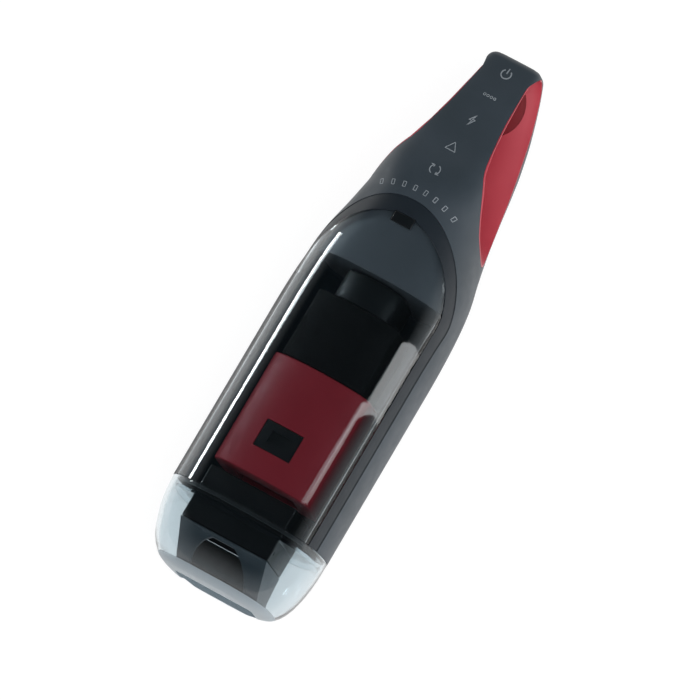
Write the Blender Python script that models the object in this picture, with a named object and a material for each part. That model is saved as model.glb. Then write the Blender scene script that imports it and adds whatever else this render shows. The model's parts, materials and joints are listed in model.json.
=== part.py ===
"""Cordless handheld vacuum: clear dust cup and nozzle, slate housing, loop handle with a red liner.

Frame: +Y points to the handle end, -Y to the nozzle, +X to the right, +Z up.
The origin is on the floor under the middle of the vacuum. Sizes below are millimetres.
"""
import math

import bmesh
import bpy
from mathutils import Matrix, Vector

MM = 0.001
GAP = 0.3

# Overall outline: (place along Y, value). The housing's front edge is where the nozzle starts.
FRONT_EDGE = -136.0
HANDLE_END = 183.0
NOZZLE_TIP = -183.0
HALF_WIDTHS = [(-136, 52.5), (-20, 52.5), (20, 51.2), (40, 48.6), (56, 44.6), (74, 40.6), (94, 36.6),
               (112, 33.2), (128, 30.0), (145, 26.8), (160, 23.4), (174, 19.8), (183, 16.8)]
TOPS = [(-136, 88), (60, 88), (80, 87), (96, 83.4), (114, 76.2), (135, 68.6), (154, 61.8), (172, 55), (183, 51)]
BOTTOMS = [(-136, -1.5), (122, -1.5), (140, 3.2), (156, 11.5), (170, 21), (183, 31)]
END_ROUND = 4.0
SECTION_POWER = 2.5
UPPER_POWERS = [(75, SECTION_POWER), (125, 5.0)]
LOWER_POWERS = [(75, SECTION_POWER), (125, 3.0)]
SECTION_POINTS = 28

# Housing.
WALL = 2.4
SPLIT_HEIGHT = 26.0
EAR_HALF_WIDTH = 50.2
ARC_CENTRE = 12.0
ARC_REACH = 61.0
BAND_SIDE = 4.0
BAND_TOP = 11.0
BAND_RECESS = 0.6
BAND_DEPTH = 3.4
RAIL_LIP = 54.0

# Dust cup and nozzle.
CUP_WALL = 2.0
CUP_FLOOR = 3.0
NOZZLE_WALL = 2.5
LATCH_CENTRE = 59.0
LATCH_SIZE = (13.6, 6.4)
STEM_FOOT = 77.0

# Motor, fan and battery.
MOTOR_HEIGHT = 52.0
BULKHEAD_FRONT = 23.0
BULKHEAD_REAR = 62.5
BULKHEAD_INSET = 4.9
BULKHEAD_WALL = 2.2
CELL_RADIUS = 9.2
CELL_LENGTH = 65.0
CELL_SPREAD = 10.0
CELL_START = 58.0
CELL_HEIGHT = 13.6

SCREW_LENGTH = 9.0

# Loop opening of the handle: (y, z) on the centre plane and (x, y, z) on the outer surface.
LOOP_MIDDLE = [(74, 48), (78, 60), (86, 66), (96, 66.5), (108, 63), (122, 58), (138, 52), (152, 47), (162, 44),
               (168, 41.5), (160, 38), (148, 35), (136, 32.5), (120, 30.5), (100, 29.5), (86, 31), (77, 38)]
LOOP_OUTER = [(42.5, 65, 38), (40.5, 71, 54), (37, 82, 65.5), (31, 95, 71.5), (25.5, 108, 72.2), (21.5, 124, 69),
              (18.5, 141, 63.2), (16.5, 160, 56.8), (15, 174, 50.8), (14.5, 179, 43.5), (17, 173, 37), (21.5, 157, 31.5),
              (25.2, 141, 29), (30, 122, 27), (35, 100, 26.5), (39, 82, 27.5), (42, 70, 31)]
LOOP_STEPS = (-1.5, -1.0, -0.6, 0.0, 0.6, 1.0, 1.5)
LOOP_FLARE = 1.6
LINER_WALL = 2.0

SLATE = ((0.030, 0.040, 0.050), 0.42, 0.0)
NEAR_BLACK = ((0.010, 0.014, 0.018), 0.38, 0.0)
BLACK = ((0.006, 0.007, 0.008), 0.5, 0.0)
RED = ((0.42, 0.045, 0.055), 0.4, 0.0)
DARK_RED = ((0.16, 0.02, 0.025), 0.35, 0.0)
CLEAR = ((0.62, 0.68, 0.72), 0.08, 0.0)
GREY = ((0.09, 0.11, 0.13), 0.45, 0.0)
STEEL = ((0.55, 0.56, 0.58), 0.3, 1.0)
RUBBER = ((0.02, 0.02, 0.022), 0.8, 0.0)
CELL_WRAP = ((0.05, 0.25, 0.45), 0.4, 0.0)
BOARD_GREEN = ((0.02, 0.12, 0.05), 0.5, 0.0)
WHITE_FELT = ((0.75, 0.75, 0.72), 0.9, 0.0)


def along(keys, y):
    """A smooth value at y through the keys, with the end keys held."""
    if y <= keys[0][0]:
        return float(keys[0][1])
    if y >= keys[-1][0]:
        return float(keys[-1][1])
    k = max(i for i in range(len(keys) - 1) if keys[i][0] <= y)
    slopes = [(keys[i + 1][1] - keys[i][1]) / (keys[i + 1][0] - keys[i][0]) for i in range(len(keys) - 1)]
    tangents = [0.0 if slopes[i - 1] * slopes[i] <= 0 else 0.5 * (slopes[i - 1] + slopes[i])
                for i in range(1, len(slopes))]
    tangents = [slopes[0]] + tangents + [slopes[-1]]
    span = keys[k + 1][0] - keys[k][0]
    t = (y - keys[k][0]) / span
    near = (1 + 2 * t) * (1 - t) ** 2 * keys[k][1] + t * (1 - t) ** 2 * span * tangents[k]
    far = t * t * (3 - 2 * t) * keys[k + 1][1] + t * t * (t - 1) * span * tangents[k + 1]
    return near + far


def clear_scene():
    for obj in list(bpy.data.objects):
        bpy.data.objects.remove(obj, do_unlink=True)


def material(name, look):
    colour, roughness, metallic = look
    made = bpy.data.materials.new(name)
    made.use_nodes = True
    shader = made.node_tree.nodes["Principled BSDF"]
    shader.inputs["Base Color"].default_value = (*colour, 1.0)
    shader.inputs["Roughness"].default_value = roughness
    shader.inputs["Metallic"].default_value = metallic
    return made


def add_object(name, bm, look=None, origin=(0, 0, 0)):
    """Turns a bmesh in millimetres into an object in metres whose origin is at the given point."""
    bmesh.ops.recalc_face_normals(bm, faces=bm.faces)
    bmesh.ops.transform(bm, matrix=Matrix.Scale(MM, 4) @ Matrix.Translation(-Vector(origin)), verts=bm.verts)
    mesh = bpy.data.meshes.new(name)
    bm.to_mesh(mesh)
    bm.free()
    obj = bpy.data.objects.new(name, mesh)
    obj.location = Vector(origin) * MM
    bpy.context.collection.objects.link(obj)
    if look:
        mesh.materials.append(material(name, look))
    return obj


def weld(mesh):
    """Merges the near-coincident points that a cut leaves."""
    bm = bmesh.new()
    bm.from_mesh(mesh)
    bmesh.ops.remove_doubles(bm, verts=bm.verts, dist=0.002 * MM)
    bm.to_mesh(mesh)
    bm.free()


def combine(obj, other, operation):
    """Cuts, joins or intersects obj with other, bakes the result and removes other."""
    step = obj.modifiers.new("combine", "BOOLEAN")
    step.operation = operation
    step.solver = "EXACT"
    step.object = other
    bpy.context.view_layer.update()
    evaluated = obj.evaluated_get(bpy.context.evaluated_depsgraph_get())
    baked = bpy.data.meshes.new_from_object(evaluated)
    weld(baked)
    looks = list(obj.data.materials)
    obj.modifiers.remove(step)
    obj.data = baked
    baked.materials.clear()
    for look in looks:
        baked.materials.append(look)
    for face in baked.polygons:
        face.material_index = 0
    bpy.data.objects.remove(other, do_unlink=True)
    return obj


def cut(obj, *tools):
    for tool in tools:
        combine(obj, tool, "DIFFERENCE")
    return obj


def join(obj, *others):
    for other in others:
        combine(obj, other, "UNION")
    return obj


def keep_inside(obj, tool):
    return combine(obj, tool, "INTERSECT")


def smooth(obj, angle=35):
    obj.data.shade_smooth()
    obj.data.set_sharp_from_angle(angle=math.radians(angle))
    return obj


def loft(rings):
    """A closed bmesh through rings of equal point counts, capped at both ends."""
    bm = bmesh.new()
    rows = [[bm.verts.new(point) for point in ring] for ring in rings]
    count = len(rows[0])
    for near, far in zip(rows, rows[1:]):
        for i in range(count):
            j = (i + 1) % count
            bm.faces.new((near[i], near[j], far[j], far[i]))
    bmesh.ops.triangulate(bm, faces=bm.faces[:])
    bm.faces.new(rows[0])
    bm.faces.new(reversed(rows[-1]))
    return bm


def section(half_width, top, bottom, limit, floor, powers=(SECTION_POWER, SECTION_POWER), tuck=0.0):
    """Points (x, z) of a soft rounded rectangle inside +-limit and above floor; its lower half is tuck narrower.

    The powers say how square its upper and its lower half are.
    """
    middle = (top + bottom) / 2
    half_height = (top - bottom) / 2
    points = []
    for i in range(SECTION_POINTS):
        angle = 2 * math.pi * (i + 0.5) / SECTION_POINTS
        c, s = math.cos(angle), math.sin(angle)
        reach = half_width - (tuck if s < 0 else 0.0)
        power = powers[1] if s < 0 else powers[0]
        x = reach * math.copysign(abs(c) ** (2 / power), c)
        z = middle + half_height * math.copysign(abs(s) ** (2 / power), s)
        points.append((max(-limit, min(limit, x)), max(floor, z)))
    return points


def body_ring(y, inset, limit=1000.0, floor_inset=None):
    """The housing's outline at y, drawn in by inset; the rounded handle end draws it in further."""
    past = y - (HANDLE_END - END_ROUND)
    if past > 0:
        inset += END_ROUND - math.sqrt(max(END_ROUND ** 2 - past ** 2, 0.01))
    below = inset if floor_inset is None else floor_inset
    points = section(along(HALF_WIDTHS, y) - inset, along(TOPS, y) - inset,
                     along(BOTTOMS, y) + below, limit, below, (along(UPPER_POWERS, y), along(LOWER_POWERS, y)))
    return [(x, y, z) for x, z in points]


def body_solid(name, start, stop, inset, limit=1000.0, floor_inset=None):
    """A solid with the housing's outline between two places along Y."""
    places = [-136, -20, 9, 27, 42, 56, 68, 80, 92, 104, 118, 132, 146, 160, 171, 179, 181.5, 182.6]
    stations = [start] + [p for p in places if start < p < stop] + [stop]
    return add_object(name, loft([body_ring(y, inset, limit, floor_inset) for y in stations]))


def box(name, low, high, look=None, bevel=0.0):
    bm = bmesh.new()
    bmesh.ops.create_cube(bm, size=1.0)
    for vert in bm.verts:
        vert.co = Vector([low[i] if vert.co[i] < 0 else high[i] for i in range(3)])
    if bevel:
        bmesh.ops.bevel(bm, geom=bm.edges[:], offset=bevel, segments=1, affect="EDGES", profile=0.5)
    return add_object(name, bm, look)


def rod(name, centre, radius, length, axis="Y", look=None, sides=24, end_radius=None, origin=(0, 0, 0)):
    """A cylinder or cone that starts at centre and runs along +axis."""
    bm = bmesh.new()
    bmesh.ops.create_cone(bm, cap_ends=True, segments=sides, radius1=radius,
                          radius2=radius if end_radius is None else end_radius, depth=length)
    turn = {"X": Matrix.Rotation(math.pi / 2, 4, "Y"), "Y": Matrix.Rotation(-math.pi / 2, 4, "X"),
            "Z": Matrix.Identity(4)}[axis]
    place = Matrix.Translation(centre) @ turn @ Matrix.Translation((0, 0, length / 2))
    bmesh.ops.transform(bm, matrix=place, verts=bm.verts)
    return add_object(name, bm, look, origin)


def tube(name, centre, outer, inner, length, axis="Y", look=None, sides=24):
    """A ring with a clear bore through it."""
    step = {"X": Vector((1, 0, 0)), "Y": Vector((0, 1, 0)), "Z": Vector((0, 0, 1))}[axis]
    ring = rod(name, centre, outer, length, axis, look, sides)
    return cut(ring, rod("bore", Vector(centre) - step, inner, length + 2, axis, None, sides))


def arch_outline(half_width, reach, front):
    """Plan outline that is straight along Y up to ARC_CENTRE and ends in half an ellipse."""
    points = [(-half_width, front), (half_width, front)]
    steps = 24
    for i in range(steps + 1):
        angle = math.pi * i / steps
        points.append((half_width * math.cos(angle), ARC_CENTRE + reach * math.sin(angle)))
    return points


def arch_prism(name, half_width, reach, low, high, front=FRONT_EDGE - 10):
    outline = arch_outline(half_width, reach, front)
    return add_object(name, loft([[(x, y, z) for x, y in outline] for z in (low, high)]))


def loop_ring(step, offset):
    """One closed outline of the handle opening, step 0 on the centre plane and 1 on the outer surface."""
    weight = min(abs(step), 1.0) ** LOOP_FLARE
    keys = []
    for (y0, z0), (x1, y1, z1) in zip(LOOP_MIDDLE, LOOP_OUTER):
        keys.append(Vector((step * x1, y0 + weight * (y1 - y0), z0 + weight * (z1 - z0))))
    fine = []
    count = len(keys)
    for i in range(count):
        a, b, c, d = (keys[(i + k - 1) % count] for k in range(4))
        fine.append(b)
        fine.append((-a + 9 * b + 9 * c - d) / 16)
    moved = []
    for i, point in enumerate(fine):
        run = fine[(i + 1) % len(fine)] - fine[i - 1]
        outward = Vector((0, -run.z, run.y)).normalized()
        moved.append(point + offset * outward)
    return moved


def loop_solid(name, offset):
    return add_object(name, loft([loop_ring(step, offset) for step in LOOP_STEPS]))


def make_upper_housing():
    housing = body_solid("upper_housing", FRONT_EDGE, HANDLE_END, 0.0)
    housing.data.materials.append(material("upper_housing", SLATE))
    cut(housing, body_solid("inside", FRONT_EDGE - 8, HANDLE_END - 7, WALL))
    cut(housing, box("below", (-80, -200, -20), (80, 200, SPLIT_HEIGHT + GAP / 2)))
    cut(housing, arch_prism("cup_opening", EAR_HALF_WIDTH, ARC_REACH, RAIL_LIP, 120))
    cut(housing, loop_solid("opening", LINER_WALL + GAP))
    cut(housing, box("socket_slot", (-5.1, 171, 38.2), (5.1, 190, 42.4)))
    return smooth(housing)


def screw_places():
    """Underside screws: (name, x, y, height where the boss starts, height of the head's seat)."""
    return [("housing_screw_front_left", -23.2, 72.0, 5.5, 8.5), ("housing_screw_front_right", 23.2, 72.0, 5.5, 8.5),
            ("housing_screw_middle", 0.0, 134.0, 3.4, 8.5), ("housing_screw_rear", 0.0, 158.0, 15.0, 20.0)]


def make_lower_housing():
    housing = body_solid("lower_housing", FRONT_EDGE, HANDLE_END, 0.0)
    housing.data.materials.append(material("lower_housing", SLATE))
    cut(housing, body_solid("inside", FRONT_EDGE - 8, HANDLE_END - 7, WALL))
    cut(housing, box("above", (-80, -200, SPLIT_HEIGHT - GAP / 2), (80, 200, 120)))
    cut(housing, loop_solid("opening", LINER_WALL + GAP))
    for _, x, y, foot, seat in screw_places():
        join(housing, rod("boss", (x, y, foot), 3.2, seat + 3.5 - foot, "Z", None, 16))
        cut(housing, rod("head_well", (x, y, -4), 2.5, seat + 4, "Z", None, 16))
        cut(housing, rod("shank_bore", (x, y, -4), 1.4, seat + 12, "Z", None, 16))
    for tool in exhaust_slots():
        cut(housing, tool)
    return smooth(housing)


def exhaust_slots():
    """Air leaves through short upright slots low on both sides of the motor bay."""
    slots = []
    for side in (-1, 1):
        for i in range(4):
            y = 28.4 + 6.2 * i
            near, far = sorted((side * 18.0, side * 70.0))
            slots.append(box("slot", (near, y, 11.0), (far, y + 3.0, 21.0)))
    return slots


def make_handle_liner():
    liner = loop_solid("handle_liner", LINER_WALL)
    liner.data.materials.append(material("handle_liner", RED))
    cut(liner, loop_solid("hole", 0.0))
    keep_inside(liner, body_solid("outline", 40, HANDLE_END, 0.0))
    cut(liner, rod("middle_screw_bore", (0, 134, 10), 1.5, 20.5, "Z", None, 16))
    return smooth(liner, 50)


def latch_notch():
    """Room for the release button in the dust cup's rear edge and the trim behind it."""
    half_x, half_y = LATCH_SIZE[0] / 2 + GAP, LATCH_SIZE[1] / 2 + GAP
    return box("latch_notch", (-half_x, LATCH_CENTRE - half_y, 60), (half_x, LATCH_CENTRE + half_y, 110))


def make_cup_trim():
    trim = arch_prism("cup_trim", EAR_HALF_WIDTH - GAP, ARC_REACH - GAP, RAIL_LIP + GAP, 120)
    trim.data.materials.append(material("cup_trim", NEAR_BLACK))
    cut(trim, arch_prism("cup_opening", EAR_HALF_WIDTH - BAND_SIDE, ARC_REACH - BAND_TOP, 0, 130, FRONT_EDGE - 20))
    keep_inside(trim, body_solid("outline", FRONT_EDGE, 90, BAND_RECESS))
    cut(trim, body_solid("inside", FRONT_EDGE - 8, 95, BAND_RECESS + BAND_DEPTH))
    cut(trim, latch_notch())
    return smooth(trim)


def make_motor_bulkhead():
    plug = body_solid("motor_bulkhead", BULKHEAD_FRONT, BULKHEAD_REAR, BULKHEAD_INSET, 43.2)
    plug.data.materials.append(material("motor_bulkhead", SLATE))
    inner = BULKHEAD_INSET + BULKHEAD_WALL
    cut(plug, body_solid("motor_bay", BULKHEAD_FRONT + BULKHEAD_WALL, BULKHEAD_REAR + 4, inner, 41.0))
    cut(plug, box("cell_room", (-60, 54.8, -10), (60, 80, 25.5)))
    cut(plug, rod("air_hole", (0, BULKHEAD_FRONT - 2, MOTOR_HEIGHT), 15, 8, "Y"))
    cut(plug, rod("stem_hole", (0, LATCH_CENTRE, 74), 2.4, 14, "Z", None, 16))
    for tool in exhaust_slots():
        cut(plug, tool)
    return smooth(plug)


def make_latch():
    """Release button with its stem, the ring that holds it in, its spring and the spring's bracket."""
    half_x, half_y = LATCH_SIZE[0] / 2, LATCH_SIZE[1] / 2
    low = 85.6
    cap = box("latch_button", (-half_x, LATCH_CENTRE - half_y, low), (half_x, LATCH_CENTRE + half_y, 88.3), BLACK, 0.4)
    join(cap, rod("stem", (0, LATCH_CENTRE, STEM_FOOT), 2.0, low - STEM_FOOT + 0.5, "Z", None, 16))
    tube("latch_retainer", (0, LATCH_CENTRE, STEM_FOOT + 1.6), 4.0, 2.3, 1.6, "Z", STEEL, 16)
    bracket = box("latch_bracket", (-7, LATCH_CENTRE - 5, 69.4), (7, BULKHEAD_REAR, 71.0), BLACK)
    for side in (-1, 1):
        near, far = sorted((side * 5.6, side * 7.0))
        join(bracket, box("leg", (near, LATCH_CENTRE - 5, 69.4), (far, BULKHEAD_REAR, 80.2)))
    make_spring("latch_spring", LATCH_CENTRE, 71.3, STEM_FOOT - GAP)


def make_spring(name, y, low, high):
    """A helical compression spring that stands on the bracket under the stem."""
    turns, radius, wire, per_turn = 3.0, 1.7, 0.25, 10
    curve = bpy.data.curves.new(name, "CURVE")
    curve.dimensions = "3D"
    curve.bevel_depth = wire * MM
    curve.bevel_resolution = 1
    curve.use_fill_caps = True
    curve.render_resolution_u = 0
    path = curve.splines.new("POLY")
    count = int(turns * per_turn) + 1
    path.points.add(count - 1)
    for i in range(count):
        angle = 2 * math.pi * i / per_turn
        z = low + wire + (high - low - 2 * wire) * i / (count - 1)
        path.points[i].co = (radius * math.cos(angle) * MM, radius * math.sin(angle) * MM, (z - low) * MM, 1)
    curve.materials.append(material(name, STEEL))
    obj = bpy.data.objects.new(name, curve)
    obj.location = (0, y * MM, low * MM)
    bpy.context.collection.objects.link(obj)


def make_motor():
    """Brushed motor behind the fan: shroud, rubber mount, can, end cap, shaft, bearings and impeller."""
    z = MOTOR_HEIGHT
    tube("motor_mount", (0, 25.5, z), 28.4, 24.2, 2.0, "Y", RUBBER, 32)
    shroud = rod("fan_shroud", (0, 27.8, z), 28.4, 16.0, "Y", BLACK, 32)
    cut(shroud, rod("fan_space", (0, 29.6, z), 26.6, 12.2, "Y", None, 32))
    cut(shroud, rod("eye", (0, 20, z), 13, 12, "Y"))
    cut(shroud, rod("shaft_hole", (0, 40, z), 4.8, 8, "Y", None, 16))
    for i in range(8):
        angle = 2 * math.pi * (i + 0.5) / 8
        port = (21.6 * math.cos(angle), 40, z + 21.6 * math.sin(angle))
        cut(shroud, rod("air_port", port, 3.2, 8, "Y", None, 12))
    smooth(shroud)
    can = rod("motor_can", (0, 44.1, z), 17.0, 17.5, "Y", STEEL, 32)
    cut(can, rod("bore", (0, 40, z), 4.5, 20.2, "Y", None, 20))
    smooth(can)
    smooth(rod("motor_end_cap", (0, 61.9, z), 14.5, 3.6, "Y", BLACK, 24))
    smooth(tube("motor_bearing_front", (0, 44.6, z), 4.2, 1.9, 3.0, "Y", STEEL, 20))
    smooth(tube("motor_bearing_rear", (0, 56.6, z), 4.2, 1.9, 3.0, "Y", STEEL, 20))
    smooth(rod("motor_shaft", (0, 38.9, z), 1.6, 20.9, "Y", STEEL, 16, None, (0, 38.9, z)))
    make_impeller(z)


def make_impeller(z):
    wheel = rod("impeller", (0, 36.8, z), 24.5, 1.6, "Y", GREY, 32, None, (0, 36.8, z))
    join(wheel, rod("hub", (0, 31.4, z), 5.0, 6.0, "Y", None, 20))
    blades, thick = 9, 1.2
    for i in range(blades):
        blade = box("blade", (3.0, 31.6, -thick / 2), (23.6, 37.4, thick / 2))
        for vert in blade.data.vertices:
            if vert.co.x > 10 * MM:
                vert.co.z -= 6 * MM
        blade.data.update()
        blade.data.transform(Matrix.Rotation(2 * math.pi * i / blades, 4, "Y"))
        blade.data.transform(Matrix.Translation((0, 0, z * MM)))
        join(wheel, blade)
    return smooth(wheel)


def make_electrics():
    """Two lithium cells in a cradle, the main, touch and light boards, and the charging socket."""
    holder = box("cell_holder", (-20, CELL_START - 2.6, 2.8), (20, CELL_START + CELL_LENGTH + 2.6, 11.4), BLACK)
    keep_inside(holder, body_solid("floor_space", 0, 150, WALL + GAP))
    for side, name in ((-1, "battery_cell_left"), (1, "battery_cell_right")):
        place = (side * CELL_SPREAD, CELL_START, CELL_HEIGHT)
        seat = (side * CELL_SPREAD, CELL_START - GAP, CELL_HEIGHT)
        cut(holder, rod("seat", seat, CELL_RADIUS + GAP, CELL_LENGTH + 2 * GAP, "Y", None, 24))
        smooth(rod(name, place, CELL_RADIUS, CELL_LENGTH, "Y", CELL_WRAP, 24))
    main = box("main_board", (-22, 28, 12.0), (22, 54, 13.6), BOARD_GREEN)
    for side, name in ((-1, "board_screw_left"), (1, "board_screw_right")):
        cut(main, rod("hole", (side * 14, 41, 8), 1.5, 10, "Z", None, 12))
        make_screw(name, (side * 14, 41, 8.4), 1.1, 2.2, 7.2, up=True)
    slope = math.radians(-20.2)
    for name, low, high, middle in (("touch_board", (-8.5, -34, -0.6), (8.5, 34, 0.6), (0, 132, 64.4)),
                                    ("light_board", (-20, -7.5, -0.6), (20, 7.5, 0.6), (0, 80, 78.6))):
        board = box(name, low, high, BOARD_GREEN)
        turn = slope if name == "touch_board" else math.radians(-7)
        board.rotation_euler = (turn, 0, 0)
        board.location = Vector(middle) * MM
    socket = box("charging_socket", (-4.7, 172.8, 38.6), (4.7, 182.0, 42.0), STEEL)
    cut(socket, box("mouth", (-4.1, 175.2, 39.2), (4.1, 190, 41.4)))


def make_screw(name, seat, shank, head, length, up=False):
    """A pan-head screw; its head is under the seat when it is driven up, above the board when driven down."""
    x, y, z = seat
    if up:
        screw = rod(name, (x, y, z), shank, length, "Z", STEEL, 12)
        join(screw, rod("head", (x, y, z + length - 1.4), head, 1.4, "Z", None, 12))
    else:
        screw = rod(name, (x, y, z - 1.8), shank, length + 1.8, "Z", STEEL, 12)
        join(screw, rod("head", (x, y, z - 2.0), head, 1.6, "Z", None, 16))
    return smooth(screw)


def make_housing_screws():
    for name, x, y, _, seat in screw_places():
        make_screw(name, (x, y, seat), 1.1, 2.2, SCREW_LENGTH)


def cup_ring(y, inset, limit):
    """The dust cup follows the housing's top and stands CUP_FLOOR above its bottom."""
    points = section(along(HALF_WIDTHS, y) - inset, along(TOPS, y) - inset,
                     along(BOTTOMS, y) + CUP_FLOOR + inset, limit, CUP_FLOOR + inset, tuck=CUP_FLOOR)
    return [(x, y, z) for x, z in points]


def cup_solid(name, start, stop, inset, limit):
    stations = [start, -20, 9, 27, 42, 56, stop]
    return add_object(name, loft([cup_ring(y, inset, limit) for y in stations]))


def make_dust_cup():
    half = EAR_HALF_WIDTH - BAND_SIDE - GAP
    cup = cup_solid("dust_cup", FRONT_EDGE, 70, 0.0, 1000.0)
    cup.data.materials.append(material("dust_cup", CLEAR))
    keep_inside(cup, arch_prism("plan", half, ARC_REACH - BAND_TOP - GAP, -10, 130))
    cut(cup, cup_solid("inside", FRONT_EDGE - 6, 80, CUP_WALL, half - CUP_WALL))
    cut(cup, box("rear_foot", (-60, BULKHEAD_FRONT - 2, -10), (60, 80, 58)))
    cut(cup, latch_notch())
    return smooth(cup)


def nozzle_ring(y, inset):
    """The nozzle narrows and slopes down from the cup's section to a rounded, slightly bowed lip."""
    widths = [(-183, 30), (-181.5, 35.5), (-178, 40.5), (-172, 44.8), (-162, 48.6), (-150, 51.2), (-136, 52.5)]
    tops = [(-183, 56), (-181.5, 61), (-178, 66), (-170, 74), (-160, 80.5), (-150, 85), (-136, 88)]
    floors = [(-183, 8), (-181.5, 5.5), (-178, 3), (-170, 0.6), (-160, -1.5), (-136, -1.5)]
    power = SECTION_POWER + 0.5 * min((FRONT_EDGE - y) / 40, 1.0)
    points = section(along(widths, y) - inset, along(tops, y) - inset, along(floors, y) + inset, 1000.0, inset,
                     (power, power))
    return [(x, y, z) for x, z in points]


def make_nozzle():
    rear = FRONT_EDGE - GAP
    stations = [rear, -150, -160, -168, -174, -178.5, -181.5, NOZZLE_TIP]
    nozzle = add_object("nozzle", loft([nozzle_ring(y, 0.0) for y in stations]), CLEAR)
    inner = [rear + 5, -150, -160, -168, -174, -178, NOZZLE_TIP + NOZZLE_WALL]
    cut(nozzle, add_object("inside", loft([nozzle_ring(y, NOZZLE_WALL) for y in inner])))
    cut(nozzle, box("mouth", (-27, -200, 10), (27, -170, 36)))
    return smooth(nozzle)


def frustum(name, rear_y, rear, front_y, front, look=None):
    """A four-sided funnel solid; rear and front are (half width, low z, high z)."""
    rings = []
    for y, (half, low, high) in ((rear_y, rear), (front_y, front)):
        rings.append([(-half, y, low), (half, y, low), (half, y, high), (-half, y, high)])
    return add_object(name, loft(rings), look)


def make_inlet():
    """Black duct through a partition, a grey guide from the mouth, and the one-way flap with its pin."""
    duct = box("inlet_duct", (-29.7, -156, 26), (29.7, -121, 72), BLACK, 1.0)
    plate = add_object("plate", loft([nozzle_ring(y, NOZZLE_WALL + 4 * GAP) for y in (-142.5, -140.5)]))
    join(duct, plate)
    cut(duct, box("way", (-27.5, -170, 28.2), (27.5, -110, 69.8)))
    cut(duct, box("drop", (-27.5, -134, 10), (27.5, -110, 40)))
    cut(duct, rod("pin_hole", (-40, -150, 67.2), 1.3, 80, "X", None, 12))
    smooth(duct)
    guide = frustum("mouth_guide", -156.3, (29.7, 26, 72), -177.5, (28.2, 11, 39), GREY)
    cut(guide, frustum("way", -150, (27.7, 32.4, 77.4), -186, (26.4, 7.6, 26.4)))
    window = rod("window", (0, -175.5, 31), 18.6, 69, "Z", None, 32)
    cut(window, box("front_half", (-30, -220, 0), (30, -175.5, 130)))
    cut(window, box("rear_stop", (-30, -158.3, 0), (30, -130, 130)))
    cut(guide, window)
    flap = box("flap_valve", (-26.6, -150.7, 30), (26.6, -149.5, 68.6), RUBBER)
    join(flap, rod("knuckle", (-26.6, -150, 67.2), 2.0, 53.2, "X", None, 16))
    cut(flap, rod("knuckle_bore", (-30, -150, 67.2), 1.25, 60, "X", None, 12))
    hinge = Vector((0, -150, 67.2)) * MM
    flap.data.transform(Matrix.Translation(-hinge))
    flap.location = hinge
    rod("flap_pin", (-29.4, -150, 67.2), 0.95, 58.8, "X", STEEL, 12)


def crowned_solid(name, start, stop, half, low, side, crown, look=None):
    """A block along Y with upright sides and an arched top."""
    steps = 10
    rings = []
    for y in (start, stop):
        ring = [(-half, y, low), (half, y, low)]
        for i in range(steps + 1):
            x = half * math.cos(math.pi * i / steps)
            ring.append((x, y, side + (crown - side) * math.sqrt(max(1 - (x / half) ** 2, 0))))
        rings.append(ring)
    return add_object(name, loft(rings), look)


def make_filter():
    """Filter cartridge: red frame with a screened window, pleated core, black outer filter, collar and seal."""
    frame = crowned_solid("filter_frame", -116, -43, 33, 22, 62, 78, DARK_RED)
    cut(frame, crowned_solid("inside", -113.8, -30, 30.8, 24.2, 60, 75.8))
    cut(frame, box("window", (-12.6, -100, 60), (12.6, -82, 100)))
    cut(frame, box("front_window", (-20, -130, 32), (20, -110, 54)))
    smooth(frame)
    screen = box("filter_screen", (-12.3, -99.7, 73.8), (12.3, -82.3, 77.2), BLACK)
    cut(screen, box("well", (-6, -95, 75.6), (6, -87, 90)))
    box("filter_core", (-28, -111, 26.4), (28, -46, 58), WHITE_FELT, 1.5)
    element = crowned_solid("filter_element", -42.6, 2.0, 27.5, 30, 70, 79, BLACK)
    smooth(element)
    collar = crowned_solid("filter_collar", 2.4, 20.6, 19, 34, 66, 77, NEAR_BLACK)
    cut(collar, rod("air_way", (0, 8, MOTOR_HEIGHT), 15, 20, "Y"))
    smooth(collar)
    smooth(tube("filter_seal", (0, 20.95, MOTOR_HEIGHT), 17.6, 15.2, 1.7, "Y", RUBBER, 32))


def make_cup_seal():
    """A rubber lip around the partition, between the cup's front rim and the nozzle."""
    seal = cup_solid("cup_seal", -138.2, -120, 4.2, 44.5)
    seal.data.materials.append(material("cup_seal", RUBBER))
    cut(seal, cup_solid("inside", -145, -110, 6.0, 42.7))
    cut(seal, box("rear_part", (-80, -136.3, -10), (80, 0, 120)))
    return smooth(seal)


def build():
    clear_scene()
    make_upper_housing()
    make_lower_housing()
    make_handle_liner()
    make_cup_trim()
    make_motor_bulkhead()
    make_latch()
    make_motor()
    make_electrics()
    make_housing_screws()
    make_dust_cup()
    make_nozzle()
    make_inlet()
    make_cup_seal()
    make_filter()


build()
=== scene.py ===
"""Looks of a cordless handheld vacuum: slate shells, red handle liner, clear dust cup and nozzle.

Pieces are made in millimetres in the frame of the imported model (+Y handle end, -Y nozzle, +Z up)
and are scaled to metres when they become objects.
"""
import json
import math

import bmesh
import bpy
from mathutils import Matrix, Vector


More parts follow.
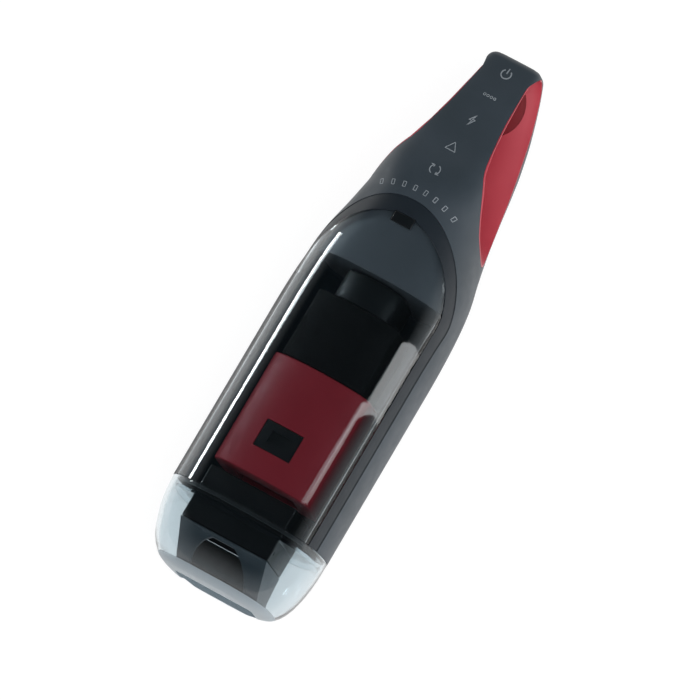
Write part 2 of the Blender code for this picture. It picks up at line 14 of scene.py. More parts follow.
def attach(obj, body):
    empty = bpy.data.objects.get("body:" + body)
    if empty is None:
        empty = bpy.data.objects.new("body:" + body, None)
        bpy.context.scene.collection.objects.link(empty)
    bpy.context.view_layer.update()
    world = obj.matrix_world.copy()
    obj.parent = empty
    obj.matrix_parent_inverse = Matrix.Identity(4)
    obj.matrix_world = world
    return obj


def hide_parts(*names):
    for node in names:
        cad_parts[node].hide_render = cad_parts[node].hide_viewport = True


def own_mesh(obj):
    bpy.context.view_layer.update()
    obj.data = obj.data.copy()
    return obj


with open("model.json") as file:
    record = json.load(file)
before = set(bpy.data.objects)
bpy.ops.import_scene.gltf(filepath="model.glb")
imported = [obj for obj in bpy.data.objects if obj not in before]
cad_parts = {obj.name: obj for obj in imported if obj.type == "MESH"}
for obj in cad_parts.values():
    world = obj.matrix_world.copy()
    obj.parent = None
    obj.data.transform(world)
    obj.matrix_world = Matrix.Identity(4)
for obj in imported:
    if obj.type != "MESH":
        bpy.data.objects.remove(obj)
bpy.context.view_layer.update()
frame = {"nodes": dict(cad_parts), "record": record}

MM = 0.001
GAP = 0.3

# Overall outline: (place along Y, value).
FRONT_EDGE = -136.0
HANDLE_END = 183.0
NOZZLE_TIP = -183.0
HALF_WIDTHS = [(-136, 52.2), (-20, 52.2), (20, 50.9), (40, 48.4), (56, 44.4), (74, 40.5), (94, 36.5),
               (112, 33.1), (128, 29.9), (145, 26.7), (160, 23.3), (174, 19.7), (183, 16.7)]
TOPS = [(-136, 88), (60, 88), (80, 87), (96, 83.4), (114, 76.2), (135, 68.6), (154, 61.8), (172, 55),
        (183, 51)]
BOTTOMS = [(-136, -1.5), (122, -1.5), (140, 3.2), (156, 11.5), (170, 21), (183, 31)]
NOZZLE_WIDTHS = [(-183, 30), (-181.5, 35.5), (-178, 40.5), (-172, 44.8), (-162, 48.4), (-150, 51),
                 (-136, 52.2)]
NOZZLE_TOPS = [(-183, 56), (-181.5, 61), (-178, 66), (-170, 74), (-160, 80.5), (-150, 85), (-136, 88)]
NOZZLE_FLOORS = [(-183, 8), (-181.5, 5.5), (-178, 3), (-170, 0.6), (-160, -1.5), (-136, -1.5)]
NOZZLE_FLARE = 0.5
LIP_START = -179.0
MOUTH_HALF = 27
MOUTH_HEIGHTS = (10, 36)
END_ROUND = 4.0
SECTION_POWER = 2.5
UPPER_POWERS = [(75, SECTION_POWER), (125, 5.0)]
LOWER_POWERS = [(75, SECTION_POWER), (125, 3.0)]
SECTION_POINTS = 112
STATION_STEP = 3.0
CURVED_FROM = -20.0

# Housing, trim and cup.
WALL = 2.4
SPLIT_HEIGHT = 26.0
EAR_HALF_WIDTH = 50.2
ARC_CENTRE = 12.0
ARC_REACH = 61.0
ARC_STEPS = 96
BAND_SIDE = 4.0
BAND_TOP = 11.0
BAND_RECESS = 0.3
BAND_DEPTH = 3.7
BAND_GAP = 0.12
RAIL_LIP = 54.0
CUP_WALL = 2.0
CUP_FLOOR = 3.0
NOZZLE_WALL = 2.5
LATCH_CENTRE = 59.0
LATCH_SIZE = (13.6, 6.4)
STEM_FOOT = 77.0
MOTOR_HEIGHT = 52.0
BULKHEAD_FRONT = 23.0
BULKHEAD_REAR = 62.5
BULKHEAD_INSET = 4.9
BULKHEAD_WALL = 2.2
SOCKET_HALF = 5.1
SOCKET_HEIGHTS = (38.2, 42.4)
FAR = 1000.0

# Loop opening of the handle: (y, z) on the centre plane and (x, y, z) on the outer surface.
LOOP_MIDDLE = [(74, 48), (78, 60), (86, 66), (96, 66.5), (108, 63), (122, 58), (138, 52), (152, 47),
               (162, 44), (168, 41.5), (160, 38), (148, 35), (136, 32.5), (120, 30.5), (100, 29.5),
               (86, 31), (77, 38)]
LOOP_OUTER = [(42.5, 65, 38), (40.5, 71, 54), (37, 82, 66), (31, 95, 72.8), (25.5, 108, 74.3),
              (21.5, 124, 69.9), (18.5, 141, 64.3), (16.5, 160, 57.6), (15, 174, 51.2), (14.5, 179, 43.5),
              (17, 173, 37), (21.5, 157, 31.5), (25.2, 141, 29), (30, 122, 27), (35, 100, 26.5),
              (39, 82, 27.5), (42, 70, 31)]
LOOP_STEPS = [-1.5, -1.2] + [i / 10 for i in range(-10, 11)] + [1.2, 1.5]
LOOP_ROUNDS = 3
LOOP_FLARE = 1.6
LINER_WALL = 0.9
# Deeper red oval pad in the floor of the handle opening: painted shade where the top plate shades that
# floor.
SHADE_PAD_CENTRE = 155.7
SHADE_PAD_HALF = (16.2, 19.0)
SHADE_PAD_SINK = 0.5
PLATE_EDGES = [(88, 37.5), (96, 31.8), (108, 26.2), (124, 22), (141, 19.2), (160, 16.8), (174, 15.4),
               (184, 14.6)]
PLATE_FOOT = 47
LINER_SCREW_BORE = 1.5

# Screws of the underside: (x, y, height where the boss starts, height of the head's seat).
SCREWS = [(-23.2, 72.0, 5.5, 8.5), (23.2, 72.0, 5.5, 8.5), (0.0, 134.0, 3.4, 8.5), (0.0, 158.0, 15.0, 20.0)]
BOSS_RADIUS = 3.2
BOSS_RISE = 3.5
HEAD_WELL = 2.5
SHANK_BORE = 1.4

# Exhaust slots, on each side of the motor bay.
SLOT_COUNT = 4
SLOT_START = 28.4
SLOT_PITCH = 6.2
SLOT_WIDTH = 3.0
SLOT_HEIGHTS = (11.0, 21.0)
SLOT_REACH = (18.0, 70.0)

# Motor bulkhead, release button and its spring.
BULKHEAD_TOP_HALF = 43.2
AIR_HOLE_RADIUS = 15
STEM_BORE = 2.4
STEM_RADIUS = 2.0
BUTTON_LOW = 85.6
BUTTON_TOP = 88.3
SPRING_FOOT = 71.35
SPRING_RADIUS = 1.7
SPRING_WIRE = 0.25
SPRING_TURNS = 3
SPRING_STEPS = 24
WIRE_SIDES = 10

# Inlet duct, partition, mouth guide and flap.
DUCT_HALF = 29.7
DUCT_REACH = (-156, -121)
DUCT_HEIGHTS = (26, 72)
DUCT_WAY_HALF = 27.5
PARTITION_REACH = (-142.5, -140.5)
HINGE_Y = -150
HINGE_HEIGHT = 67.2
PIN_BORE = 1.3
WINDOW_RADIUS = 18.6
WINDOW_EDGE = -175.5
FLAP_HALF = 26.6
FLAP_THICKNESS = 1.2

# Filter cartridge: (front, rear) along Y, half width, and the heights low, shoulder and crown.
FRAME_REACH = (-116, -43)
FRAME_HALF = 33
FRAME_HEIGHTS = (22, 62, 78)
FRAME_WALL = 2.2
SCREEN_HALF = 12.6
SCREEN_REACH = (-100, -82)
SCREEN_GAP = 0.3
ELEMENT_REACH = (-42.6, 2.0)
ELEMENT_HALF = 27.5
ELEMENT_HEIGHTS = (30, 70, 79)
COLLAR_REACH = (2.4, 20.6)
COLLAR_HALF = 19
COLLAR_HEIGHTS = (34, 66, 77)
CROWN_STEPS = 40

# Printed marks.
INK_LIFT = 0.14
INK_DEPTH = 0.26
MARK_STEP = 0.8
LEVEL_COUNT = 8
LEVEL_HALF = (0.9, 1.6)
LEVEL_SPREAD = 25.2
LEVEL_MIDDLE = 79.8
LEVEL_SAG = 5.2
LEVEL_LEAN = 0.42
LEVEL_LINE = 0.42


def along(keys, y):
    """A smooth value at y through the keys, with the end keys held."""
    if y <= keys[0][0]:
        return float(keys[0][1])
    if y >= keys[-1][0]:
        return float(keys[-1][1])
    k = max(i for i in range(len(keys) - 1) if keys[i][0] <= y)
    slopes = [(keys[i + 1][1] - keys[i][1]) / (keys[i + 1][0] - keys[i][0]) for i in range(len(keys) - 1)]
    tangents = [0.0 if slopes[i - 1] * slopes[i] <= 0 else 0.5 * (slopes[i - 1] + slopes[i])
                for i in range(1, len(slopes))]
    tangents = [slopes[0]] + tangents + [slopes[-1]]
    span = keys[k + 1][0] - keys[k][0]
    t = (y - keys[k][0]) / span
    near = (1 + 2 * t) * (1 - t) ** 2 * keys[k][1] + t * (1 - t) ** 2 * span * tangents[k]
    far = t * t * (3 - 2 * t) * keys[k + 1][1] + t * t * (t - 1) * span * tangents[k + 1]
    return near + far


def new_object(name, bm, look=None):
    """Turns a bmesh in millimetres into an object in metres that sits at the origin."""
    bmesh.ops.recalc_face_normals(bm, faces=bm.faces)
    bmesh.ops.scale(bm, vec=(MM, MM, MM), verts=bm.verts)
    mesh = bpy.data.meshes.new(name)
    bm.to_mesh(mesh)
    bm.free()
    obj = bpy.data.objects.new(name, mesh)
    bpy.context.collection.objects.link(obj)
    if look:
        mesh.materials.append(look)
    return obj


def bake(obj):
    """Applies the modifiers of an object and keeps its materials."""
    bpy.context.view_layer.update()
    evaluated = obj.evaluated_get(bpy.context.evaluated_depsgraph_get())
    baked = bpy.data.meshes.new_from_object(evaluated)
    looks = list(obj.data.materials)
    obj.modifiers.clear()
    obj.data = baked
    baked.materials.clear()
    for look in looks:
        baked.materials.append(look)
    for face in baked.polygons:
        face.material_index = 0
    return obj


def combine(obj, other, operation):
    """Cuts, joins or intersects obj with other, bakes the result and removes other."""
    step = obj.modifiers.new("combine", "BOOLEAN")
    step.operation = operation
    step.solver = "EXACT"
    step.object = other
    bake(obj)
    bpy.data.objects.remove(other, do_unlink=True)
    bm = bmesh.new()
    bm.from_mesh(obj.data)
    bmesh.ops.remove_doubles(bm, verts=bm.verts, dist=0.003 * MM)
    bm.to_mesh(obj.data)
    bm.free()
    return obj


def cut(obj, *tools):
    for tool in tools:
        combine(obj, tool, "DIFFERENCE")
    return obj


def join(obj, *others):
    for other in others:
        combine(obj, other, "UNION")
    return obj


def keep_inside(obj, tool):
    return combine(obj, tool, "INTERSECT")


def smooth(obj, angle=32):
    obj.data.shade_smooth()
    obj.data.set_sharp_from_angle(angle=math.radians(angle))
    return obj


def soften(obj, width=0.35, segments=2, angle=40):
    """Rounds the sharp edges a little, as a mould does."""
    step = obj.modifiers.new("soften", "BEVEL")
    step.width = width * MM
    step.segments = segments
    step.limit_method = "ANGLE"
    step.angle_limit = math.radians(angle)
    step.miter_outer = "MITER_ARC"
    return bake(obj)


def fit(piece, body, slot, *nodes):
    """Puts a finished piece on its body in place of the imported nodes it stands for."""
    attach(piece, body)
    if nodes:
        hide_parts(*nodes)
    return piece


def loft(outlines):
    """A bmesh grown from a circle's edges, extruded from outline to outline and closed at both ends."""
    bm = bmesh.new()
    ring = bmesh.ops.create_circle(bm, segments=len(outlines[0]), radius=1.0)["verts"]
    rim = bm.edges[:]
    for vert, point in zip(ring, outlines[0]):
        vert.co = point
    for outline in outlines[1:]:
        grown = bmesh.ops.extrude_edge_only(bm, edges=rim)["geom"]
        fresh = {part for part in grown if isinstance(part, bmesh.types.BMVert)}
        rim = [part for part in grown if isinstance(part, bmesh.types.BMEdge)]
        ring = [next(edge.other_vert(vert) for edge in vert.link_edges if edge.other_vert(vert) in fresh)
                for vert in ring]
        for vert, point in zip(ring, outline):
            vert.co = point
    bmesh.ops.triangulate(bm, faces=bm.faces[:])
    bmesh.ops.holes_fill(bm, edges=bm.edges[:], sides=0)
    return bm


def section(half_width, top, bottom, limit, floor, powers=(SECTION_POWER, SECTION_POWER), tuck=0.0):
    """Points (x, z) of a soft rounded rectangle inside +-limit and above floor.

    The powers say how square its upper and its lower half are; the lower half is tuck narrower.
    """
    middle = (top + bottom) / 2
    half_height = (top - bottom) / 2
    points = []
    for i in range(SECTION_POINTS):
        angle = 2 * math.pi * (i + 0.5) / SECTION_POINTS
        c, s = math.cos(angle), math.sin(angle)
        reach = half_width - (tuck if s < 0 else 0.0)
        power = powers[1] if s < 0 else powers[0]
        x = reach * math.copysign(abs(c) ** (2 / power), c)
        z = middle + half_height * math.copysign(abs(s) ** (2 / power), s)
        points.append((max(-limit, min(limit, x)), max(floor, z)))
    return points


def stations(start, stop, extra=()):
    """Places along Y between two ends, close together where the outline curves."""
    places = {start, stop}
    y = max(start, CURVED_FROM)
    while y < stop:
        places.add(y)
        y += STATION_STEP
    places.update(p for p in extra if start < p < stop)
    ordered = sorted(places)
    return [y for i, y in enumerate(ordered) if i == 0 or i == len(ordered) - 1 or y - ordered[i - 1] > 0.3]


def body_outline(y, inset, limit):
    """The housing's outline at y, drawn in by inset; the rounded handle end draws it in further."""
    past = y - (HANDLE_END - END_ROUND)
    if past > 0:
        inset += END_ROUND - math.sqrt(max(END_ROUND ** 2 - past ** 2, 0.01))
    points = section(along(HALF_WIDTHS, y) - inset, along(TOPS, y) - inset, along(BOTTOMS, y) + inset,
                     limit, inset, (along(UPPER_POWERS, y), along(LOWER_POWERS, y)))
    return [(x, y, z) for x, z in points]


def body_solid(name, start, stop, inset, limit=FAR):
    """A solid with the housing's outline between two places along Y."""
    rounding = [HANDLE_END - END_ROUND * (1 - math.sin(math.radians(9 * i))) for i in range(11)]
    places = stations(start, stop, extra=rounding)
    return new_object(name, loft([body_outline(y, inset, limit) for y in places]))


def top_height(x, y):
    """Height of the housing's top surface at (x, y)."""
    half = along(HALF_WIDTHS, y)
    top, bottom = along(TOPS, y), along(BOTTOMS, y)
    power = along(UPPER_POWERS, y)
    share = max(1 - abs(x / half) ** power, 0.0) ** (1 / power)
    return (top + bottom) / 2 + (top - bottom) / 2 * share


def cup_outline(y, inset, limit):
    """The dust cup follows the housing's top and stands CUP_FLOOR above its bottom."""
    points = section(along(HALF_WIDTHS, y) - inset, along(TOPS, y) - inset,
                     along(BOTTOMS, y) + CUP_FLOOR + inset, limit, CUP_FLOOR + inset, tuck=CUP_FLOOR)
    return [(x, y, z) for x, z in points]


def cup_solid(name, start, stop, inset, limit):
    return new_object(name, loft([cup_outline(y, inset, limit) for y in stations(start, stop)]))


def nozzle_outline(y, inset):
    """The nozzle narrows and slopes down from the cup's section to a rounded, slightly bowed lip."""
    power = SECTION_POWER + NOZZLE_FLARE * min((FRONT_EDGE - y) / 40, 1.0)
    points = section(along(NOZZLE_WIDTHS, y) - inset, along(NOZZLE_TOPS, y) - inset,
                     along(NOZZLE_FLOORS, y) + inset, FAR, inset, (power, power))
    return [(x, y, z) for x, z in points]


def nozzle_solid(name, rear, tip, inset):
    """A solid with the nozzle's outline, with closer rings where the lip turns in."""
    count = 26
    places = [rear + (tip - rear) * math.sin(math.pi / 2 * i / count) for i in range(count + 1)]
    return new_object(name, loft([nozzle_outline(y, inset) for y in places]))


def box(name, low, high, look=None, bevel=0.0, segments=2):
    """A block between two corners with rounded edges."""
    bm = bmesh.new()
    bmesh.ops.create_cube(bm, size=1.0)
    for vert in bm.verts:
        vert.co = Vector([low[i] if vert.co[i] < 0 else high[i] for i in range(3)])
    if bevel:
        bmesh.ops.bevel(bm, geom=bm.edges[:], offset=bevel, segments=segments, affect="EDGES",
                        profile=0.5, material=-1)
    return new_object(name, bm, look)


def rod(name, centre, radius, length, axis, sides=48):
    """A cylinder that starts at centre and runs along +axis."""
    bm = bmesh.new()
    bmesh.ops.create_cone(bm, cap_ends=True, segments=sides, radius1=radius, radius2=radius, depth=length)
    turn = {"X": Matrix.Rotation(math.pi / 2, 4, "Y"), "Y": Matrix.Rotation(-math.pi / 2, 4, "X"),
            "Z": Matrix.Identity(4)}[axis]
    place = Matrix.Translation(centre) @ turn @ Matrix.Translation((0, 0, length / 2))
    bmesh.ops.transform(bm, matrix=place, verts=bm.verts)
    return new_object(name, bm)


def arch_prism(name, half_width, reach, low, high, front=FRONT_EDGE - 10):
    """An upright solid whose plan is straight along Y up to ARC_CENTRE and ends in half an ellipse."""
    plan = [(-half_width, front), (half_width, front)]
    for i in range(ARC_STEPS + 1):
        angle = math.pi * i / ARC_STEPS
        plan.append((half_width * math.cos(angle), ARC_CENTRE + reach * math.sin(angle)))
    return new_object(name, loft([[(x, y, z) for x, y in plan] for z in (low, high)]))


def loop_outline(step, offset):
    """One closed outline of the handle opening, step 0 on the centre plane and 1 on the outer surface."""
    weight = min(abs(step), 1.0) ** LOOP_FLARE
    points = [Vector((step * x1, y0 + weight * (y1 - y0), z0 + weight * (z1 - z0)))
              for (y0, z0), (x1, y1, z1) in zip(LOOP_MIDDLE, LOOP_OUTER)]
    for _ in range(LOOP_ROUNDS):
        finer = []
        for i, point in enumerate(points):
            a, c, d = points[i - 1], points[(i + 1) % len(points)], points[(i + 2) % len(points)]
            finer += [point, (9 * point + 9 * c - a - d) / 16]
        points = finer
    moved = []
    for i, point in enumerate(points):
        run = points[(i + 1) % len(points)] - points[i - 1]
        moved.append(point + offset * Vector((0, -run.z, run.y)).normalized())
    return moved


def loop_solid(name, offset):
    return new_object(name, loft([loop_outline(step, offset) for step in LOOP_STEPS]))


def linear(hex_colour):
    """An sRGB hex colour as the linear RGBA that shaders use."""
    channels = [int(hex_colour[i:i + 2], 16) / 255 for i in (0, 2, 4)]
    return tuple(c / 12.92 if c <= 0.04045 else ((c + 0.055) / 1.055) ** 2.4 for c in channels) + (1.0,)


def add(tree, kind, inputs, **settings):
    """Adds a node; each input is given a value or linked to an output socket."""
    made = tree.nodes.new(kind)
    for name, value in settings.items():
        setattr(made, name, value)
    for name, value in inputs.items():
        if isinstance(value, bpy.types.NodeSocket):
            tree.links.new(value, made.inputs[name])
        else:
            made.inputs[name].default_value = value
    return made


def blank(name):
    """An empty material with its surface shader and the place of each point in metres."""
    made = bpy.data.materials.new(name)
    made.use_nodes = True
    tree = made.node_tree
    tree.nodes.clear()
    place = add(tree, "ShaderNodeTexCoord", {}).outputs["Object"]
    output = add(tree, "ShaderNodeOutputMaterial", {})
    return made, tree, place, output


def grain(tree, place, size_mm, detail=2.0):
    """Fine noise whose lumps are about size_mm across."""
    return add(tree, "ShaderNodeTexNoise",
               {"Vector": place, "Scale": 1.0 / (size_mm * MM), "Detail": detail,
                "Roughness": 0.55}).outputs["Fac"]


def between(tree, fac, low, high, start=0.35, stop=0.65):
    """A value that goes from low to high as fac goes from start to stop."""
    return add(tree, "ShaderNodeMapRange", {"Value": fac, "From Min": start, "From Max": stop,
                                            "To Min": low, "To Max": high}).outputs["Result"]


def two_tone(tree, fac, dark, light):
    ramp = add(tree, "ShaderNodeValToRGB", {"Fac": fac})
    ramp.color_ramp.elements[0].position = 0.3
    ramp.color_ramp.elements[0].color = linear(dark)
    ramp.color_ramp.elements[1].position = 0.7
    ramp.color_ramp.elements[1].color = linear(light)
    return ramp.outputs["Color"]


def bump(tree, height, depth_mm, strength=1.0):
    return add(tree, "ShaderNodeBump", {"Height": height, "Distance": depth_mm * MM,
                                        "Strength": strength}).outputs["Normal"]


def moulded(name, dark, light, roughness, grain_mm, depth_mm, coat=0.0):
    """Injection-moulded plastic: broad flow tone, sparked grain and a slightly uneven gloss."""
    made, tree, place, output = blank(name)
    colour = two_tone(tree, grain(tree, place, 34.0), dark, light)
    gloss = between(tree, grain(tree, place, 9.0), roughness - 0.03, roughness + 0.03)
    texture = grain(tree, place, grain_mm, 1.0)
    shader = add(tree, "ShaderNodeBsdfPrincipled",
                 {"Base Color": colour, "Roughness": gloss, "IOR": 1.53, "Coat Weight": coat,
                  "Coat Roughness": 0.12, "Normal": bump(tree, texture, depth_mm)})
    tree.links.new(shader.outputs["BSDF"], output.inputs["Surface"])
    return made


def clear_polycarbonate(name, tint, roughness):
    """Polished-mould polycarbonate: clear, faintly smoke blue, with hairline scuffs that dull its gloss."""
    made, tree, place, output = blank(name)
    stretched = add(tree, "ShaderNodeMapping",
                    {"Vector": place, "Scale": (1.0, 0.12, 1.0)}).outputs["Vector"]
    scuffs = grain(tree, stretched, 1.6, 3.0)
    gloss = between(tree, scuffs, roughness, roughness + 0.05, 0.6, 0.8)
    glass = add(tree, "ShaderNodeBsdfPrincipled",
                {"Base Color": linear(tint), "Roughness": gloss, "IOR": 1.586, "Transmission Weight": 1.0})
    through = add(tree, "ShaderNodeBsdfTransparent", {"Color": linear(tint)})
    rays = add(tree, "ShaderNodeLightPath", {})
    mixed = add(tree, "ShaderNodeMixShader", {"Fac": rays.outputs["Is Shadow Ray"]})
    tree.links.new(glass.outputs["BSDF"], mixed.inputs[1])
    tree.links.new(through.outputs["BSDF"], mixed.inputs[2])
    tree.links.new(mixed.outputs["Shader"], output.inputs["Surface"])
    return made


def frosted_polycarbonate(name, colour):
    """Blasted-mould polycarbonate: the same clear resin with a milky, scattering skin."""
    made, tree, place, output = blank(name)
    blast = grain(tree, place, 0.4, 1.0)
    shader = add(tree, "ShaderNodeBsdfPrincipled",
                 {"Base Color": linear(colour), "Roughness": between(tree, blast, 0.3, 0.42), "IOR": 1.586,
                  "Transmission Weight": 0.45, "Normal": bump(tree, blast, 0.01)})
    through = add(tree, "ShaderNodeBsdfTransparent", {"Color": linear(colour)})
    rays = add(tree, "ShaderNodeLightPath", {})
    mixed = add(tree, "ShaderNodeMixShader", {"Fac": rays.outputs["Is Shadow Ray"]})
    tree.links.new(shader.outputs["BSDF"], mixed.inputs[1])
    tree.links.new(through.outputs["BSDF"], mixed.inputs[2])
    tree.links.new(mixed.outputs["Shader"], output.inputs["Surface"])
    return made


def metal(name, colour, roughness, brushed_mm, stretch=(1.0, 1.0, 1.0)):
    """Steel: drawn or rolled lines make its gloss run one way."""
    made, tree, place, output = blank(name)
    run = add(tree, "ShaderNodeMapping", {"Vector": place, "Scale": stretch}).outputs["Vector"]
    lines = grain(tree, run, brushed_mm, 2.0)
    gloss = between(tree, lines, roughness - 0.06, roughness + 0.08)
    shader = add(tree, "ShaderNodeBsdfPrincipled",
                 {"Base Color": linear(colour), "Metallic": 1.0, "Roughness": gloss,
                  "Normal": bump(tree, lines, 0.01)})
    tree.links.new(shader.outputs["BSDF"], output.inputs["Surface"])
    return made


def rubber(name, colour):
    """Moulded rubber: matt, soft sheen, faint bloom in patches."""
    made, tree, place, output = blank(name)
    bloom = grain(tree, place, 6.0)
    shader = add(tree, "ShaderNodeBsdfPrincipled",
                 {"Base Color": two_tone(tree, bloom, colour, "2a2b2c"),
                  "Roughness": between(tree, bloom, 0.66, 0.82), "IOR": 1.52, "Sheen Weight": 0.15,
                  "Normal": bump(tree, grain(tree, place, 0.5), 0.03)})
    tree.links.new(shader.outputs["BSDF"], output.inputs["Surface"])
    return made


def foam(name, dark, light, pore_mm):
    """Reticulated filter foam: open pores, drawn 1.1 mm wide so that they show, dull all over."""
    made, tree, place, output = blank(name)
    pores = add(tree, "ShaderNodeTexVoronoi", {"Vector": place, "Scale": 1.0 / (pore_mm * MM)},
                feature="DISTANCE_TO_EDGE").outputs["Distance"]
    shader = add(tree, "ShaderNodeBsdfPrincipled",
                 {"Base Color": two_tone(tree, pores, dark, light), "Roughness": 0.85, "IOR": 1.5,
                  "Normal": bump(tree, pores, 0.4, 0.6)})
    tree.links.new(shader.outputs["BSDF"], output.inputs["Surface"])
    return made


def woven(name, dark, light, thread_mm):
    """Woven screen: two crossed sets of threads, drawn at thread_mm so that they show."""
    made, tree, place, output = blank(name)
    across = add(tree, "ShaderNodeTexWave", {"Vector": place, "Scale": 0.31 / (thread_mm * MM)},
                 bands_direction="X").outputs["Fac"]
    along_y = add(tree, "ShaderNodeTexWave", {"Vector": place, "Scale": 0.31 / (thread_mm * MM)},
                  bands_direction="Y").outputs["Fac"]
    threads = add(tree, "ShaderNodeMath", {0: across, 1: along_y}, operation="MAXIMUM").outputs["Value"]
    shader = add(tree, "ShaderNodeBsdfPrincipled",
                 {"Base Color": two_tone(tree, threads, dark, light), "Roughness": 0.6, "IOR": 1.5,
                  "Normal": bump(tree, threads, 0.15)})
    tree.links.new(shader.outputs["BSDF"], output.inputs["Surface"])
    return made


def felt(name, dark, light):
    """Melt-blown filter felt: short matted fibres, dull and slightly uneven."""
    made, tree, place, output = blank(name)
    fibres = grain(tree, place, 0.8, 4.0)
    shader = add(tree, "ShaderNodeBsdfPrincipled",
                 {"Base Color": two_tone(tree, fibres, dark, light), "Roughness": 0.95, "IOR": 1.5,
                  "Sheen Weight": 0.2, "Normal": bump(tree, fibres, 0.2)})
    tree.links.new(shader.outputs["BSDF"], output.inputs["Surface"])
    return made


LOOKS = {
    "slate_plastic": moulded("slate moulded ABS", "2e373e", "333c44", 0.5, 0.55, 0.010),
    "trim_plastic": moulded("near-black moulded ABS", "141b22", "171f26", 0.5, 0.5, 0.008),
    "button_plastic": moulded("black button ABS", "0b0f11", "0e1215", 0.34, 0.45, 0.008),
    "black_plastic": moulded("black moulded polypropylene", "0d0f10", "131516", 0.5, 0.6, 0.012),
    "duct_plastic": moulded("black duct polypropylene", "08090b", "0b0d0f", 0.45, 0.6, 0.01),
    # Near-black sheet inside the mouth: painted shade for the dark hole behind the window.
    "mouth_shade_sheet": moulded("matt black painted shade sheet", "030404", "050505", 0.85, 0.6, 0.001),
    "guide_plastic": moulded("grey guide ABS", "3c4248", "42494f", 0.45, 0.6, 0.01),
    "bulkhead_plastic": moulded("slate bulkhead ABS", "606165", "66676c", 0.5, 0.55, 0.01),
    "collar_plastic": moulded("dark collar ABS", "0b0e10", "0e1113", 0.5, 0.55, 0.01),
    "impeller_plastic": moulded("grey impeller nylon", "33383c", "3a4044", 0.5, 0.6, 0.012),
    # Deeper red for the pad in the handle opening's floor: painted shade under the top plate.
    "shade_pad": moulded("deep red painted shade pad", "6e101b", "781520", 0.45, 0.5, 0.006),
    "liner_plastic": moulded("red liner ABS", "ad3a47", "b8434f", 0.4, 0.5, 0.006),
    "filter_red": moulded("deep red filter ABS", "a32833", "ab2e39", 0.5, 0.5, 0.008),
    "cell_wrap": moulded("blue PVC shrink wrap", "1c4f78", "22577f", 0.28, 1.4, 0.01),
    "board": moulded("green solder mask on glass epoxy", "0d4226", "11492b", 0.35, 0.9, 0.01, coat=0.3),
    "marks": moulded("pale grey pad-printed ink", "7f868c", "8c9399", 0.5, 0.4, 0.004),
    "clear_plastic": clear_polycarbonate("clear smoke polycarbonate", "dde6ea", 0.02),
    "frosted_lip": frosted_polycarbonate("frosted smoke polycarbonate", "a9b6be"),
    "steel": metal("drawn steel", "b9bbbd", 0.3, 0.4, (1.0, 0.1, 1.0)),
    "screw_steel": metal("zinc-plated screw steel", "a9adb0", 0.34, 0.5),
    "spring_steel": metal("spring steel wire", "a2a4a6", 0.28, 0.4),
    "motor_steel": metal("deep-drawn motor steel", "9c9ea0", 0.36, 0.6, (1.0, 0.08, 1.0)),
    "rubber": rubber("black moulded rubber", "161718"),
    "flap_rubber": rubber("black flap silicone", "131415"),
    "screen_black": woven("black woven nylon screen", "050607", "101214", 0.9),
    "filter_media": felt("white melt-blown felt", "b9b8b0", "cfcec7"),
    "filter_black": foam("black filter foam", "060708", "14171a", 1.1),
}


def make_upper_shell():
    shell = body_solid("upper_shell", FRONT_EDGE, HANDLE_END, 0.0)
    shell.data.materials.append(LOOKS["slate_plastic"])
    cut(shell, body_solid("inside", FRONT_EDGE - 8, HANDLE_END - 7, WALL))
    cut(shell, box("below", (-80, -200, -20), (80, 200, SPLIT_HEIGHT + GAP / 2)))
    cut(shell, arch_prism("cup_opening", EAR_HALF_WIDTH, ARC_REACH, RAIL_LIP, 120))
    cut(shell, loop_solid("opening", LINER_WALL + GAP))
    low, high = SOCKET_HEIGHTS
    cut(shell, box("socket_slot", (-SOCKET_HALF, 171, low), (SOCKET_HALF, 190, high)))
    fit(smooth(shell), "housing", "slate_plastic", "upper_housing")


def exhaust_slots():
    """Air leaves through short upright slots low on both sides of the motor bay."""
    slots = []
    low, high = SLOT_HEIGHTS
    for side in (-1, 1):
        for i in range(SLOT_COUNT):
            y = SLOT_START + SLOT_PITCH * i
            near, far = sorted((side * SLOT_REACH[0], side * SLOT_REACH[1]))
            slots.append(box("slot", (near, y, low), (far, y + SLOT_WIDTH, high), None, 0.8, 2))
    return slots


def make_lower_shell():
    shell = body_solid("lower_shell", FRONT_EDGE, HANDLE_END, 0.0)
    shell.data.materials.append(LOOKS["slate_plastic"])
    cut(shell, body_solid("inside", FRONT_EDGE - 8, HANDLE_END - 7, WALL))
    cut(shell, box("above", (-80, -200, SPLIT_HEIGHT - GAP / 2), (80, 200, 120)))
    cut(shell, loop_solid("opening", LINER_WALL + GAP))
    for x, y, foot, seat in SCREWS:
        join(shell, rod("boss", (x, y, foot), BOSS_RADIUS, seat + BOSS_RISE - foot, "Z"))
        cut(shell, rod("head_well", (x, y, -4), HEAD_WELL, seat + 4, "Z"))
        cut(shell, rod("shank_bore", (x, y, -4), SHANK_BORE, seat + 12, "Z"))
    cut(shell, *exhaust_slots())
    fit(smooth(shell), "housing", "slate_plastic", "lower_housing")


def make_liner():
    liner = loop_solid("red_liner", LINER_WALL)
    liner.data.materials.append(LOOKS["liner_plastic"])
    cut(liner, loop_solid("hole", 0.0))
    keep_inside(liner, body_solid("outline", 40, HANDLE_END, 0.0))
    cut(liner, rod("middle_screw_bore", (0, 134, 10), LINER_SCREW_BORE, 20.5, "Z"))
    cut(liner, *beside_plate())
    cut(liner, shade_pad_zone(0.0))
    fit(smooth(liner, 45), "housing", "liner_plastic", "handle_liner")
    # A deeper red pad let into the opening's floor: painted shade where the top plate shades it.
    pad = loop_solid("shade_pad", LINER_WALL)
    pad.data.materials.append(LOOKS["shade_pad"])
    cut(pad, loop_solid("hole", SHADE_PAD_SINK))
    keep_inside(pad, shade_pad_zone(0.1))
    fit(smooth(pad, 45), "housing", "liner_plastic")


